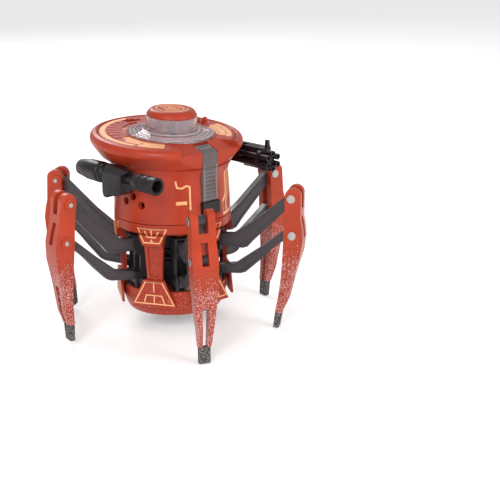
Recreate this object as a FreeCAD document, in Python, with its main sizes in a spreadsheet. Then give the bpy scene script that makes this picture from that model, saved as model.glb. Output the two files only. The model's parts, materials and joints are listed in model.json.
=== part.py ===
import FreeCAD, Part
import math
import os
import re
import Sketcher

# A palm-sized six-legged walking robot toy.  Millimetres, +Z up.  The origin is on the floor under
# the steering axis.  At rest the head looks along -Y, so the robot's own left side is +X.

App = FreeCAD
doc = App.newDocument("SpiderRobot")
sheet = doc.addObject("Spreadsheet::Sheet", "sizes")

SIZES = {
    # Stations of the base, measured up from the floor
    "belly_bottom": 9.0,
    "belly_inside": 11.0,
    "deck_under": 17.2,
    "deck_top": 19.0,
    "bowl_rim": 20.6,
    "ring_bottom": 46.8,
    "ring_floor": 48.6,
    "ring_top": 51.4,
    # Radii of the base
    "bowl_radius": 24.0,
    "belly_radius": 21.0,
    "belly_plate_radius": 19.4,
    "rim_inside": 22.4,
    "ring_radius": 26.0,
    "wall": 1.6,
    "screw_circle": 14.0,
    "screw_radius": 1.0,
    "screw_head": 2.0,
    "post_radius": 2.3,
    # Waist pillars, midway between the legs
    "pillar_inner": 21.8,
    "pillar_outer": 23.8,
    "panel_outer": 26.0,
    "shield_inner": 24.1,
    "shield_outer": 25.2,
    "panel_bottom": 42.0,
    "shield_top": 26.2,
    "shield_bottom": 13.7,
    # Central drive column and the two stride plates
    "core_radius": 9.0,
    "core_waist": 5.0,
    "collar_radius": 7.4,
    "plate_low": 31.0,
    "plate_high": 34.2,
    "plate_thick": 1.2,
    "plate_hub": 8.8,
    "plate_bore": 6.3,
    "plate_tip": 12.2,
    "plate_arm": 4.4,
    "drive_slot": 1.52,
    "drive_pin": 0.7,
    "drive_reach": 7.0,
    # Hips: six vertical pivots on one circle
    "hip_circle": 18.0,
    "pivot_radius": 2.0,
    "running_gap": 0.06,
    "boss_radius": 3.2,
    "yoke_bottom": 19.7,
    "yoke_top": 44.5,
    "yoke_half": 3.5,
    "cheek": 1.4,
    "yoke_back": -4.4,
    "yoke_front": 5.2,
    "upper_hip": 40.0,
    "lower_hip": 23.7,
    "lower_hip_out": 1.6,
    "trunnion_radius": 1.25,
    "trunnion_play": 1.3,
    # Arms: knee pin seen from the hip pivot
    "arm_reach": 37.0,
    "arm_rise": 21.0,
    "arm_half": 1.8,
    "upper_hub": 2.6,
    "lower_hub": 2.4,
    "knee_hub": 2.3,
    "knee_pin": 0.95,
    "pin_head": 1.9,
    "pin_head_thick": 0.5,
    # Shin, seen from its upper knee pin
    "knee_height": 61.0,
    "knee_drop": 16.3,
    "knee_step": 1.6,
    "shin_half": 5.05,
    "shin_bulge": 5.35,
    "fork_half": 1.95,
    "window_half": 1.45,
    "shin_end": 53.5,
    # Rest pose in degrees
    "swing_mid": 8.6,
    "swing_corner": 4.3,
    "shin_lean": 4.0,
    "foot_raise": 2.5,
    # Head drum and saucer
    "seam_height": 51.7,
    "drum_floor": 54.0,
    "drum_radius": 26.0,
    "drum_waist": 25.2,
    "drum_waist_height": 70.0,
    "drum_lip": 27.2,
    "drum_top": 77.0,
    "stub_radius": 4.0,
    "stub_bottom": 47.4,
    "head_lean": 4.5,
    "saucer_shift": 3.1,
    "saucer_radius": 33.8,
    "saucer_widest": 84.2,
    "saucer_bore": 23.0,
    "saucer_inner": 30.4,
    "prow": 26.3,
    "prow_height": 84.0,
    "hood_back": 18.4,
    "hood_height": 86.6,
    "lid_top": 86.6,
    "visor_half": 4.2,
    "visor_bottom": 60.6,
    "emitter_half": 4.7,
    "emitter_bottom": 55.2,
    # Sensor turret on the steering axis
    "dish_radius": 19.0,
    "dish_rim": 87.4,
    "turret_radius": 11.1,
    "turret_top": 94.8,
    "cap_radius": 10.6,
    "cap_top": 97.7,
    # Clip-on side pods
    "cannon_out": 32.8,
    "cannon_height": 73.3,
    "cannon_radius": 3.7,
    "tail_radius": 4.6,
    "cannon_tail": 23.4,
    "cannon_muzzle": -31.5,
    "pod_out": 30,
    "pod_height": 74.4,
    "pod_radius": 4.8,
    # Bought-in parts
    "cell_radius": 5.8,
    "cell_thick": 5.4,
    "motor_radius": 5.0,
    "motor_length": 15.0,
}

for row, (alias, size) in enumerate(SIZES.items(), start=1):
    sheet.set(f"A{row}", alias)
    sheet.set(f"B{row}", str(size))
    sheet.setAlias(f"B{row}", alias)
doc.recompute()


def bound(text):
    """Turn a formula in plain aliases into one that reads the sheet."""
    return re.sub(r"[a-z_]+", lambda word: f"sizes.{word[0]}" if word[0] in SIZES else word[0], str(text))


def value(text):
    return float(sheet.evalExpression(bound(text)))


def origin_feature(body, role):
    return next(feature for feature in body.Origin.OriginFeatures if feature.Role == role)


def new_body(label):
    body = doc.addObject("PartDesign::Body", label)
    body.Label = label
    return body


def new_sketch(body, role, offset="0"):
    """A sketch on one of the body's own origin planes, raised along the plane's normal."""
    sketch = body.newObject("Sketcher::SketchObject", "Outline")
    sketch.AttachmentSupport = [(origin_feature(body, role), "")]
    sketch.MapMode = "FlatFace"
    sketch.setExpression("AttachmentOffset.Base.z", bound(offset))
    return sketch


def bind_point(sketch, geometry, point, across, up):
    for kind, text in (("DistanceX", across), ("DistanceY", up)):
        rule = Sketcher.Constraint(kind, -1, 1, geometry, point, value(text))
        index = sketch.addConstraint(rule)
        sketch.setExpression(f"Constraints[{index}]", bound(text))


def outline(sketch, corners):
    """Closed outline.  A corner of four terms starts an arc that passes through its last two."""
    first = sketch.GeometryCount
    places = [App.Vector(value(corner[0]), value(corner[1]), 0) for corner in corners]
    ends = []
    arcs = []
    for index, corner in enumerate(corners):
        start = places[index]
        stop = places[(index + 1) % len(corners)]
        if len(corner) == 2:
            sketch.addGeometry(Part.LineSegment(start, stop))
            ends.append((1, 2))
            continue
        middle = App.Vector(value(corner[2]), value(corner[3]), 0)
        sketch.addGeometry(Part.Arc(start, middle, stop))
        leftward = (middle - start).cross(stop - middle).z > 0
        ends.append((1, 2) if leftward else (2, 1))
        arcs.append((first + index, corner[2], corner[3], middle))
    for index, corner in enumerate(corners):
        follower = (index + 1) % len(corners)
        joined = (first + index, ends[index][1], first + follower, ends[follower][0])
        sketch.addConstraint(Sketcher.Constraint("Coincident", *joined))
        bind_point(sketch, first + index, ends[index][0], corner[0], corner[1])
    for arc, across, up, middle in arcs:
        crown = sketch.addGeometry(Part.Point(middle), True)
        bind_point(sketch, crown, 1, across, up)
        sketch.addConstraint(Sketcher.Constraint("PointOnObject", crown, 1, arc))


def circle(sketch, across, up, radius):
    centre = App.Vector(value(across), value(up), 0)
    index = sketch.addGeometry(Part.Circle(centre, App.Vector(0, 0, 1), value(radius)))
    bind_point(sketch, index, 3, across, up)
    rule = sketch.addConstraint(Sketcher.Constraint("Radius", index, value(radius)))
    sketch.setExpression(f"Constraints[{rule}]", bound(radius))


def rectangle(sketch, left, low, right, high):
    outline(sketch, [(left, low), (right, low), (right, high), (left, high)])


def pad(body, sketch, length, side="One side", reverse=False):
    feature = body.newObject("PartDesign::Pad", "Pad")
    feature.Profile = sketch
    feature.SideType = side
    feature.Reversed = reverse
    feature.setExpression("Length", bound(length))
    return feature


def pocket(body, sketch, length, side="One side", reverse=False):
    """Cut, and make sure that something was really removed."""
    doc.recompute()
    before = body.Shape.Volume
    feature = body.newObject("PartDesign::Pocket", "Pocket")
    feature.Profile = sketch
    feature.SideType = side
    feature.Reversed = reverse
    feature.setExpression("Length", bound(length))
    doc.recompute()
    if body.Shape.Volume > before - 1e-3:
        raise RuntimeError(f"a pocket of {body.Label} removed nothing")
    return feature


def revolve(body, sketch, angle=360.0, middle=False):
    feature = body.newObject("PartDesign::Revolution", "Revolution")
    feature.Profile = sketch
    feature.ReferenceAxis = (sketch, ["V_Axis"])
    feature.Angle = angle
    feature.Midplane = middle
    return feature


def carve(body, sketch):
    """Cut a profile away all round the body's own Z axis."""
    feature = body.newObject("PartDesign::Groove", "Groove")
    feature.Profile = sketch
    feature.ReferenceAxis = (sketch, ["V_Axis"])
    feature.Angle = 360.0
    return feature


def turned(label, corners):
    """A body turned about its own Z axis from (radius, height) corners."""
    body = new_body(label)
    sketch = new_sketch(body, "XZ_Plane")
    outline(sketch, corners)
    revolve(body, sketch)
    return body


def around(body, features, count):
    """Repeat features about Z and make the ring of them the body's tip."""
    doc.recompute()
    ring = body.newObject("PartDesign::PolarPattern", "Ring")
    ring.Originals = features
    ring.Axis = (origin_feature(body, "Z_Axis"), [""])
    ring.Angle = 360.0
    ring.Occurrences = count
    body.Tip = ring
    return ring


def drill(body, across, up, radius, low, high):
    """A hole along Z between two heights."""
    sketch = new_sketch(body, "XY_Plane", high)
    circle(sketch, across, up, radius)
    return pocket(body, sketch, f"({high}) - ({low})")


def disc_pad(body, across, up, radius, low, high):
    sketch = new_sketch(body, "XY_Plane", low)
    circle(sketch, across, up, radius)
    return pad(body, sketch, f"({high}) - ({low})")


def cross_rod(body, across, up, radius, start, stop):
    """A round rod along Y, from start to stop, at (across, up)."""
    sketch = new_sketch(body, "XZ_Plane", f"-({start})")
    circle(sketch, across, up, radius)
    return pad(body, sketch, f"({stop}) - ({start})", reverse=True)


# ---------------------------------------------------------------- base


def base_bowl():
    """Round belly shell with a flat deck, hip sockets and three screw posts."""
    body = turned("base_bowl", [
        ("0", "deck_top"),
        ("0", "deck_under"),
        ("belly_radius - 0.4", "deck_under"),
        ("belly_plate_radius - 1", "belly_inside"),
        ("belly_plate_radius", "belly_inside"),
        ("belly_plate_radius", "belly_bottom"),
        ("belly_radius", "belly_bottom", "belly_radius + 2.3", "belly_bottom + 6"),
        ("bowl_radius", "bowl_rim"),
        ("rim_inside", "bowl_rim"),
        ("rim_inside", "deck_top"),
    ])
    post = disc_pad(body, "screw_circle", "0", "post_radius", "belly_inside", "deck_under + 0.2")
    around(body, [post], 3)
    thread = drill(body, "screw_circle", "0", "screw_radius", "belly_inside - 1", "deck_under")
    around(body, [thread], 3)
    boss = disc_pad(body, "hip_circle", "0", "boss_radius", "deck_top - 0.2", "deck_top + 0.5")
    around(body, [boss], 6)
    socket = drill(body, "hip_circle", "0", "pivot_radius + running_gap", "deck_under - 1", "bowl_rim")
    around(body, [socket], 6)
    return body


def belly_plate():
    """Disc that closes the belly, with three countersunk screw holes."""
    top = "belly_inside"
    bottom = "belly_bottom + 0.4"
    body = turned("belly_plate", [
        ("0", bottom),
        ("belly_plate_radius - 0.9", bottom),
        ("belly_plate_radius - 0.1", "belly_bottom + 1.1"),
        ("belly_plate_radius - 0.1", top),
        ("0", top),
    ])
    head = drill(body, "screw_circle", "0", "screw_head + 0.1", "belly_bottom - 1", "belly_bottom + 1.2")
    around(body, [head], 3)
    hole = drill(body, "screw_circle", "0", "screw_radius + 0.1", "belly_bottom - 1", "belly_inside + 1")
    around(body, [hole], 3)
    return body


def belly_screws():
    """Three cross-head screws up into the bowl's posts."""
    body = new_body("belly_screws")
    head = disc_pad(body, "screw_circle", "0", "screw_head", "belly_bottom + 0.4", "belly_bottom + 1.2")
    shank = disc_pad(body, "screw_circle", "0", "screw_radius - 0.05", "belly_bottom + 1.1", "deck_under - 1")
    doc.recompute()
    slots = new_sketch(body, "XY_Plane", "belly_bottom + 0.9")
    rectangle(slots, "screw_circle - 1.3", "-0.25", "screw_circle + 1.3", "0.25")
    drive = pocket(body, slots, "1")
    around(body, [head, shank, drive], 3)
    return body


def waist_pillars():
    """Six posts joining bowl and ring, each with an upper panel and a lower shield."""
    body = new_body("waist_pillars")
    post = new_sketch(body, "YZ_Plane", "pillar_inner")
    outline(post, [
        ("-3.9", "bowl_rim"),
        ("3.9", "bowl_rim"),
        ("3.5", "shield_top + 2"),
        ("4.4", "panel_bottom"),
        ("4.7", "ring_bottom"),
        ("-4.7", "ring_bottom"),
        ("-4.4", "panel_bottom"),
        ("-3.5", "shield_top + 2"),
    ])
    column = pad(body, post, "pillar_outer - pillar_inner")
    face = new_sketch(body, "YZ_Plane", "pillar_outer - 0.6")
    outline(face, [
        ("-4.4", "panel_bottom"),
        ("4.4", "panel_bottom"),
        ("6.1", "ring_bottom"),
        ("-6.1", "ring_bottom"),
    ])
    panel = pad(body, face, "panel_outer - pillar_outer + 0.6")
    neck = new_sketch(body, "YZ_Plane", "pillar_outer - 0.6")
    outline(neck, [
        ("-4.9", "bowl_rim"),
        ("4.9", "bowl_rim"),
        ("4.6", "shield_top"),
        ("-4.6", "shield_top"),
    ])
    bridge = pad(body, neck, "shield_outer - pillar_outer + 0.6")
    plate = new_sketch(body, "YZ_Plane", "shield_inner")
    outline(plate, [
        ("-10.5", "shield_bottom"),
        ("10.5", "shield_bottom"),
        ("4.9", "shield_top"),
        ("-4.9", "shield_top"),
    ])
    shield = pad(body, plate, "shield_outer - shield_inner")
    recess = new_sketch(body, "YZ_Plane", "pillar_outer + 0.1")
    outline(recess, [
        ("-2.2", "shield_top + 1.5"),
        ("2.2", "shield_top + 1.5"),
        ("2.8", "panel_bottom - 1.5"),
        ("-2.8", "panel_bottom - 1.5"),
    ])
    groove = pocket(body, recess, "0.7")
    around(body, [column, panel, bridge, shield, groove], 6)
    body.Placement = App.Placement(App.Vector(), App.Rotation(App.Vector(0, 0, 1), 30))
    return body


def deck_ring():
    """Fixed ring under the head: the steering bearing and the six upper hip sockets."""
    body = turned("deck_ring", [
        ("stub_radius + running_gap", "ring_bottom"),
        ("ring_radius - 0.8", "ring_bottom"),
        ("ring_radius", "ring_bottom + 0.8"),
        ("ring_radius", "ring_top"),
        ("ring_radius - wall", "ring_top"),
        ("ring_radius - wall", "ring_floor"),
        ("stub_radius + 2.4", "ring_floor"),
        ("stub_radius + 2.4", "ring_top"),
        ("stub_radius + running_gap", "ring_top"),
    ])
    boss = disc_pad(body, "hip_circle", "0", "boss_radius", "yoke_top + 0.5", "ring_floor - 0.2")
    around(body, [boss], 6)
    socket = drill(body, "hip_circle", "0", "pivot_radius + running_gap", "yoke_top", "ring_top")
    around(body, [socket], 6)
    return body


def drive_core():
    """Closed gear column on the steering axis, with collars that carry the stride plates."""
    return turned("drive_core", [
        ("0", "deck_top"),
        ("core_radius", "deck_top"),
        ("core_radius", "plate_low - 1"),
        ("collar_radius", "plate_low - 0.4"),
        ("core_waist", "plate_low - 0.4"),
        ("core_waist", "plate_low + plate_thick + 0.4"),
        ("collar_radius", "plate_low + plate_thick + 0.4"),
        ("collar_radius", "plate_high - 0.4"),
        ("core_waist", "plate_high - 0.4"),
        ("core_waist", "plate_high + plate_thick + 0.4"),
        ("collar_radius", "plate_high + plate_thick + 0.4"),
        ("core_radius", "plate_high + plate_thick + 1"),
        ("core_radius", "ring_bottom"),
        ("0", "ring_bottom"),
    ])


def stride_plate(label, height, first_leg, shift):
    """Three-armed fork plate.  It slides fore and aft and swings one tripod of legs."""
    body = new_body(label)
    hub = new_sketch(body, "XY_Plane", height)
    circle(hub, "0", "0", "plate_hub")
    circle(hub, "0", "0", "plate_bore")
    pad(body, hub, "plate_thick")
    arm = new_sketch(body, "XY_Plane", height)
    rectangle(arm, "plate_hub - 0.8", "-plate_arm / 2", "plate_tip", "plate_arm / 2")
    prong = pad(body, arm, "plate_thick")
    doc.recompute()
    slot = new_sketch(body, "XY_Plane", f"{height} + plate_thick")
    rectangle(slot, "plate_hub + 0.5", "-drive_slot / 2", "plate_tip + 1", "drive_slot / 2")
    cut = pocket(body, slot, "plate_thick")
    around(body, [prong, cut], 3)
    turn = App.Rotation(App.Vector(0, 0, 1), first_leg)
    body.Placement = App.Placement(App.Vector(0, value(shift), 0), turn)
    return body


# ---------------------------------------------------------------- legs


LEGS = {
    # name: (azimuth, rest swing, rest lean of the foot outwards, height of the foot at rest)
    "front_right": (-120, "swing_corner", "shin_lean", "0"),
    "mid_left": (0, "-swing_mid", "0", "0"),
    "rear_right": (120, "swing_corner", "0", "foot_raise"),
    "front_left": (-60, "swing_corner", "-shin_lean", "0"),
    "rear_left": (60, "swing_corner", "shin_lean", "0"),
    "mid_right": (180, "-swing_mid", "shin_lean", "foot_raise"),
}


def leg_frame(leg):
    """The leg's own frame: X outwards along the leg, Z up, origin on the floor under the hip."""
    azimuth, swing = LEGS[leg][:2]
    circle_radius = value("hip_circle")
    heading = math.radians(azimuth)
    place = App.Vector(circle_radius * math.cos(heading), circle_radius * math.sin(heading), 0)
    return App.Placement(place, App.Rotation(App.Vector(0, 0, 1), azimuth + value(swing)))


def leg_pose(leg):
    """Where the leg's linkage settles at its lean, with its sole on the floor or raised."""
    lean = math.radians(value(LEGS[leg][2]))
    length = math.hypot(value("arm_reach"), value("arm_rise"))
    drawn = math.degrees(math.atan2(value("arm_rise"), value("arm_reach")))
    sole = value("knee_height")
    corners = [(-4.3, -sole), (-1.8, -sole)]
    height = max(-(across * math.sin(lean) + up * math.cos(lean)) for across, up in corners)
    height += value(LEGS[leg][3])
    climb = math.asin((height - value("upper_hip")) / length)
    reach = length * math.cos(climb)
    step, drop = value("knee_step"), value("knee_drop")
    low_across = reach + step * math.cos(lean) + drop * math.sin(lean)
    low_up = height + step * math.sin(lean) - drop * math.cos(lean)
    low_climb = math.asin((low_up - value("lower_hip")) / length)
    return {
        "knee": App.Vector(reach, 0, height),
        "shin_turn": -math.degrees(lean),
        "upper_turn": drawn - math.degrees(climb),
        "lower_turn": drawn - math.degrees(low_climb),
        "trunnion": App.Vector(low_across - length * math.cos(low_climb), 0, value("lower_hip")),
    }


def tilted(frame, place, turn):
    """A placement inside the leg's frame, turned about the frame's Y axis."""
    return frame.multiply(App.Placement(place, App.Rotation(App.Vector(0, 1, 0), turn)))


def hip_yoke(leg):
    """Fork on a vertical pivot that carries both arms, with a drive pin at its back."""
    body = new_body(f"hip_yoke_{leg}")
    side = new_sketch(body, "XZ_Plane")
    outline(side, [
        ("yoke_back", "yoke_bottom"),
        ("2.4", "yoke_bottom"),
        ("3", "bowl_rim + 0.4"),
        ("yoke_front", "bowl_rim + 0.4"),
        ("yoke_front", "yoke_top"),
        ("yoke_back", "yoke_top"),
    ])
    pad(body, side, "2 * yoke_half", "Symmetric")
    gap = new_sketch(body, "XZ_Plane")
    outline(gap, [
        ("yoke_back + 1.2", "yoke_bottom + 1.2"),
        ("yoke_front + 1", "yoke_bottom + 1.2"),
        ("yoke_front + 1", "yoke_top - 0.5"),
        ("2.8", "yoke_top - 0.5"),
        ("1.4", "yoke_top - 1.2"),
        ("yoke_back + 1.2", "yoke_top - 1.2"),
    ])
    pocket(body, gap, "2 * (yoke_half - cheek)", "Symmetric")
    throat = new_sketch(body, "XZ_Plane")
    outline(throat, [
        ("2.6", "lower_hip + 4.4"),
        ("yoke_front + 1", "lower_hip + 3"),
        ("yoke_front + 1", "upper_hip - 3.4"),
        ("2.6", "upper_hip - 4.6"),
    ])
    pocket(body, throat, "2 * yoke_half + 1", "Symmetric")
    bore = new_sketch(body, "XZ_Plane")
    circle(bore, "0", "upper_hip", "trunnion_radius + running_gap")
    pocket(body, bore, "2 * yoke_half + 1", "Symmetric")
    slot = new_sketch(body, "XZ_Plane")
    left = "lower_hip_out - trunnion_play"
    right = "lower_hip_out + trunnion_play"
    low = "lower_hip - trunnion_radius - running_gap"
    high = "lower_hip + trunnion_radius + running_gap"
    outline(slot, [
        (left, low),
        (right, low, f"{right} + trunnion_radius + running_gap", "lower_hip"),
        (right, high),
        (left, high, f"{left} - trunnion_radius - running_gap", "lower_hip"),
    ])
    pocket(body, slot, "2 * yoke_half + 1", "Symmetric")
    disc_pad(body, "0", "0", "pivot_radius", "deck_under", "yoke_bottom + 0.3")
    disc_pad(body, "0", "0", "pivot_radius", "yoke_top - 0.3", "ring_floor - 0.2")
    for low, high in (("plate_low - 2", "plate_low - 0.8"), ("plate_high + 2", "plate_high + 3.2")):
        lug = new_sketch(body, "XY_Plane", low)
        rectangle(lug, "-drive_reach - 1", "-1.5", "yoke_back + 0.4", "1.5")
        pad(body, lug, f"({high}) - ({low})")
    disc_pad(body, "-drive_reach", "0", "drive_pin", "plate_low - 1.4", "plate_high + 2.4")
    body.Placement = leg_frame(leg)
    return body


def arm(label, hip_hub, side_corners):
    """Flat dog-leg arm with trunnions at the hip and a pin bore at the knee."""
    body = new_body(label)
    hub = new_sketch(body, "XZ_Plane")
    circle(hub, "0", "0", hip_hub)
    pad(body, hub, "2 * arm_half", "Symmetric")
    bar = new_sketch(body, "XZ_Plane")
    outline(bar, side_corners)
    pad(body, bar, "2 * arm_half", "Symmetric")
    knee = new_sketch(body, "XZ_Plane")
    circle(knee, "arm_reach", "arm_rise", "knee_hub")
    pad(body, knee, "2 * arm_half", "Symmetric")
    trunnion = new_sketch(body, "XZ_Plane")
    circle(trunnion, "0", "0", "trunnion_radius")
    pad(body, trunnion, "2 * yoke_half", "Symmetric")
    bore = new_sketch(body, "XZ_Plane")
    circle(bore, "arm_reach", "arm_rise", "knee_pin + running_gap")
    pocket(body, bore, "2 * arm_half + 1", "Symmetric")
    return body


def upper_arm(leg):
    body = arm(f"upper_arm_{leg}", "upper_hub", [
        ("0", "2.5"),
        ("0", "-2.5"),
        ("15", "-3.3"),
        ("17.2", "-2.5"),
        ("20", "0.7"),
        ("31.6", "12.4"),
        ("33.8", "14.6"),
        ("arm_reach + 1.4", "arm_rise - 1.8"),
        ("arm_reach - 0.9", "arm_rise + 2.1"),
        ("33.6", "20.8"),
        ("19.5", "9"),
        ("10.5", "2.9"),
    ])
    pose = leg_pose(leg)
    hip = App.Vector(0, 0, value("upper_hip"))
    body.Placement = tilted(leg_frame(leg), hip, pose["upper_turn"])
    return body


def lower_arm(leg):
    body = arm(f"lower_arm_{leg}", "lower_hub", [
        ("0", "2.3"),
        ("0", "-1.2"),
        ("3", "0.6"),
        ("13.6", "1.2"),
        ("15.8", "2"),
        ("21.8", "7.5"),
        ("27.2", "13.1"),
        ("32", "17"),
        ("arm_reach + 1.2", "arm_rise - 1.9"),
        ("arm_reach - 1", "arm_rise + 2"),
        ("32", "21.3"),
        ("22", "13.4"),
        ("11.1", "5.5"),
        ("3", "4.4"),
    ])
    pose = leg_pose(leg)
    body.Placement = tilted(leg_frame(leg), pose["trunnion"], pose["lower_turn"])
    return body


def shin(leg):
    """Curved claw: forked top, channel for the arm ends, window, web and two prongs."""
    body = new_body(f"shin_{leg}")
    side = new_sketch(body, "XZ_Plane")
    outline(side, [
        ("-2.7", "0.6", "0.7", "4.7"),
        ("4.3", "1"),
        ("4.9", "-9"),
        ("5.9", "-13"),
        ("6.5", "-17.5"),
        ("6.1", "-24.5"),
        ("3.5", "-36"),
        ("1.7", "-47"),
        ("-0.8", "-shin_end"),
        ("-3.9", "-shin_end"),
        ("-2.9", "-47"),
        ("-2", "-36"),
        ("-1.9", "-24.5"),
        ("-2.2", "-9"),
    ])
    pad(body, side, "2 * shin_bulge", "Symmetric")
    for sign in ("", "-"):
        trim = new_sketch(body, "YZ_Plane")
        outline(trim, [
            (f"{sign}shin_half", "8"),
            (f"{sign}shin_half", "-9"),
            (f"{sign}shin_bulge", "-knee_drop"),
            (f"{sign}5.2", "-24.5"),
            (f"{sign}4.5", "-36"),
            (f"{sign}3.3", "-47"),
            (f"{sign}2.65", "-shin_end - 1"),
            (f"{sign}8", "-shin_end - 1"),
            (f"{sign}8", "8"),
        ])
        pocket(body, trim, "30", "Symmetric")
    fork = new_sketch(body, "XZ_Plane")
    rectangle(fork, "-6", "-4.5", "8", "8")
    pocket(body, fork, "2 * fork_half", "Symmetric")
    channel = new_sketch(body, "XZ_Plane")
    rectangle(channel, "-6", "-22", "4.1", "-4")
    pocket(body, channel, "2 * fork_half", "Symmetric")
    window = new_sketch(body, "XZ_Plane")
    rectangle(window, "3", "-17.6", "9", "-8.1")
    pocket(body, window, "2 * window_half", "Symmetric")
    prongs = new_sketch(body, "YZ_Plane")
    outline(prongs, [("-1.5", "-36"), ("1.5", "-36"), ("0.9", "-shin_end - 1"), ("-0.9", "-shin_end - 1")])
    pocket(body, prongs, "30", "Symmetric")
    for across, up, half in (("0", "0", "shin_half"), ("knee_step", "-knee_drop", "shin_bulge")):
        cross_rod(body, across, up, "2.6", f"{half} - 0.3", f"{half} + 0.5")
        dimple = new_sketch(body, "XZ_Plane", f"-({half}) - 0.5")
        circle(dimple, across, up, "1")
        pocket(body, dimple, "0.4", reverse=True)
        bore = new_sketch(body, "XZ_Plane", "shin_bulge + 1")
        circle(bore, across, up, "knee_pin + 0.02")
        pocket(body, bore, "2 * shin_bulge + 0.8")
    pose = leg_pose(leg)
    body.Placement = tilted(leg_frame(leg), pose["knee"], pose["shin_turn"])
    return body


def knee_pins(leg):
    """Two steel pins with domed heads, pressed in from the clockwise side."""
    body = new_body(f"knee_pins_{leg}")
    for across, up, half in (("0", "0", "shin_half"), ("knee_step", "-knee_drop", "shin_bulge")):
        cross_rod(body, across, up, "knee_pin", f"-({half}) - 0.1", f"{half} - 0.6")
        cross_rod(body, across, up, "pin_head", f"-({half}) - pin_head_thick", f"-({half})")
    pose = leg_pose(leg)
    body.Placement = tilted(leg_frame(leg), pose["knee"], pose["shin_turn"])
    return body


def foot_tip(leg):
    """Rubber toe under the two prongs."""
    body = new_body(f"foot_tip_{leg}")
    side = new_sketch(body, "XZ_Plane")
    outline(side, [
        ("-3.9", "-shin_end"),
        ("-0.8", "-shin_end"),
        ("-1.8", "-knee_height"),
        ("-4.3", "-knee_height"),
    ])
    pad(body, side, "2 * 2.5", "Symmetric")
    pose = leg_pose(leg)
    body.Placement = tilted(leg_frame(leg), pose["knee"], pose["shin_turn"])
    return body


# ---------------------------------------------------------------- head


def drum_wall(height):
    """Radius of the drum's tapered wall at a height, as a formula."""
    part_way = f"(({height}) - seam_height) / (drum_waist_height - seam_height)"
    return f"drum_radius - (drum_radius - drum_waist) * {part_way}"


def on_head(shift="0"):
    """Place of a saucer part.  The saucer leans forward about the top of the drum."""
    lean = App.Rotation(App.Vector(1, 0, 0), value("head_lean"))
    pivot = App.Vector(0, 0, value("drum_top"))
    return App.Placement(pivot + lean.multVec(App.Vector(0, value(shift), 0) - pivot), lean)


def leaned(back, up):
    """The same lean for one corner of a side outline."""
    rise = f"(({up}) - drum_top)"
    return (
        f"({back}) * cos(head_lean) - {rise} * sin(head_lean)",
        f"drum_top + ({back}) * sin(head_lean) + {rise} * cos(head_lean)",
    )


def head_drum():
    """Turning drum: tapered wall, floor, steering stub, visor slot and sound holes."""
    body = turned("head_drum", [
        ("0", "drum_floor"),
        ("0", "stub_bottom"),
        ("stub_radius", "stub_bottom"),
        ("stub_radius", "seam_height"),
        ("drum_radius", "seam_height"),
        ("drum_waist", "drum_waist_height"),
        ("drum_waist + 0.3", "drum_top - 4.6"),
        ("drum_lip", "drum_top - 1.4"),
        ("drum_lip", "drum_top + 3.4"),
        ("drum_lip - wall", "drum_top + 3.4"),
        ("drum_lip - wall", "drum_top - 1.6"),
        ("drum_waist - wall", "drum_top - 5"),
        ("drum_waist - wall", "drum_waist_height"),
        ("drum_radius - 1.5 * wall", "drum_floor"),
    ])
    front = new_sketch(body, "XZ_Plane", "drum_radius - 6")
    outline(front, [
        ("-emitter_half - 0.1", "emitter_bottom - 0.1"),
        ("emitter_half + 0.1", "emitter_bottom - 0.1"),
        ("emitter_half + 0.1", "visor_bottom"),
        ("visor_half + 0.1", "visor_bottom"),
        ("visor_half + 0.1", "drum_top + 4"),
        ("-visor_half - 0.1", "drum_top + 4"),
        ("-visor_half - 0.1", "visor_bottom"),
        ("-emitter_half - 0.1", "visor_bottom"),
    ])
    pocket(body, front, "12", reverse=True)
    above = new_sketch(body, "XY_Plane", "drum_top")
    above.AttachmentOffset = App.Placement(App.Vector(), App.Rotation(App.Vector(1, 0, 0), value("head_lean")))
    above.setExpression("AttachmentOffset.Base.z", bound("drum_top"))
    circle(above, "0", "0", "drum_lip + 10")
    pocket(body, above, "10", reverse=True)
    vents = new_sketch(body, "YZ_Plane", "-drum_radius - 2")
    for across, up in (("-0.3", "60.5"), ("-4.6", "63"), ("-8.8", "59.6")):
        circle(vents, across, up, "1.65")
    pocket(body, vents, "8", reverse=True)
    return body


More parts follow.
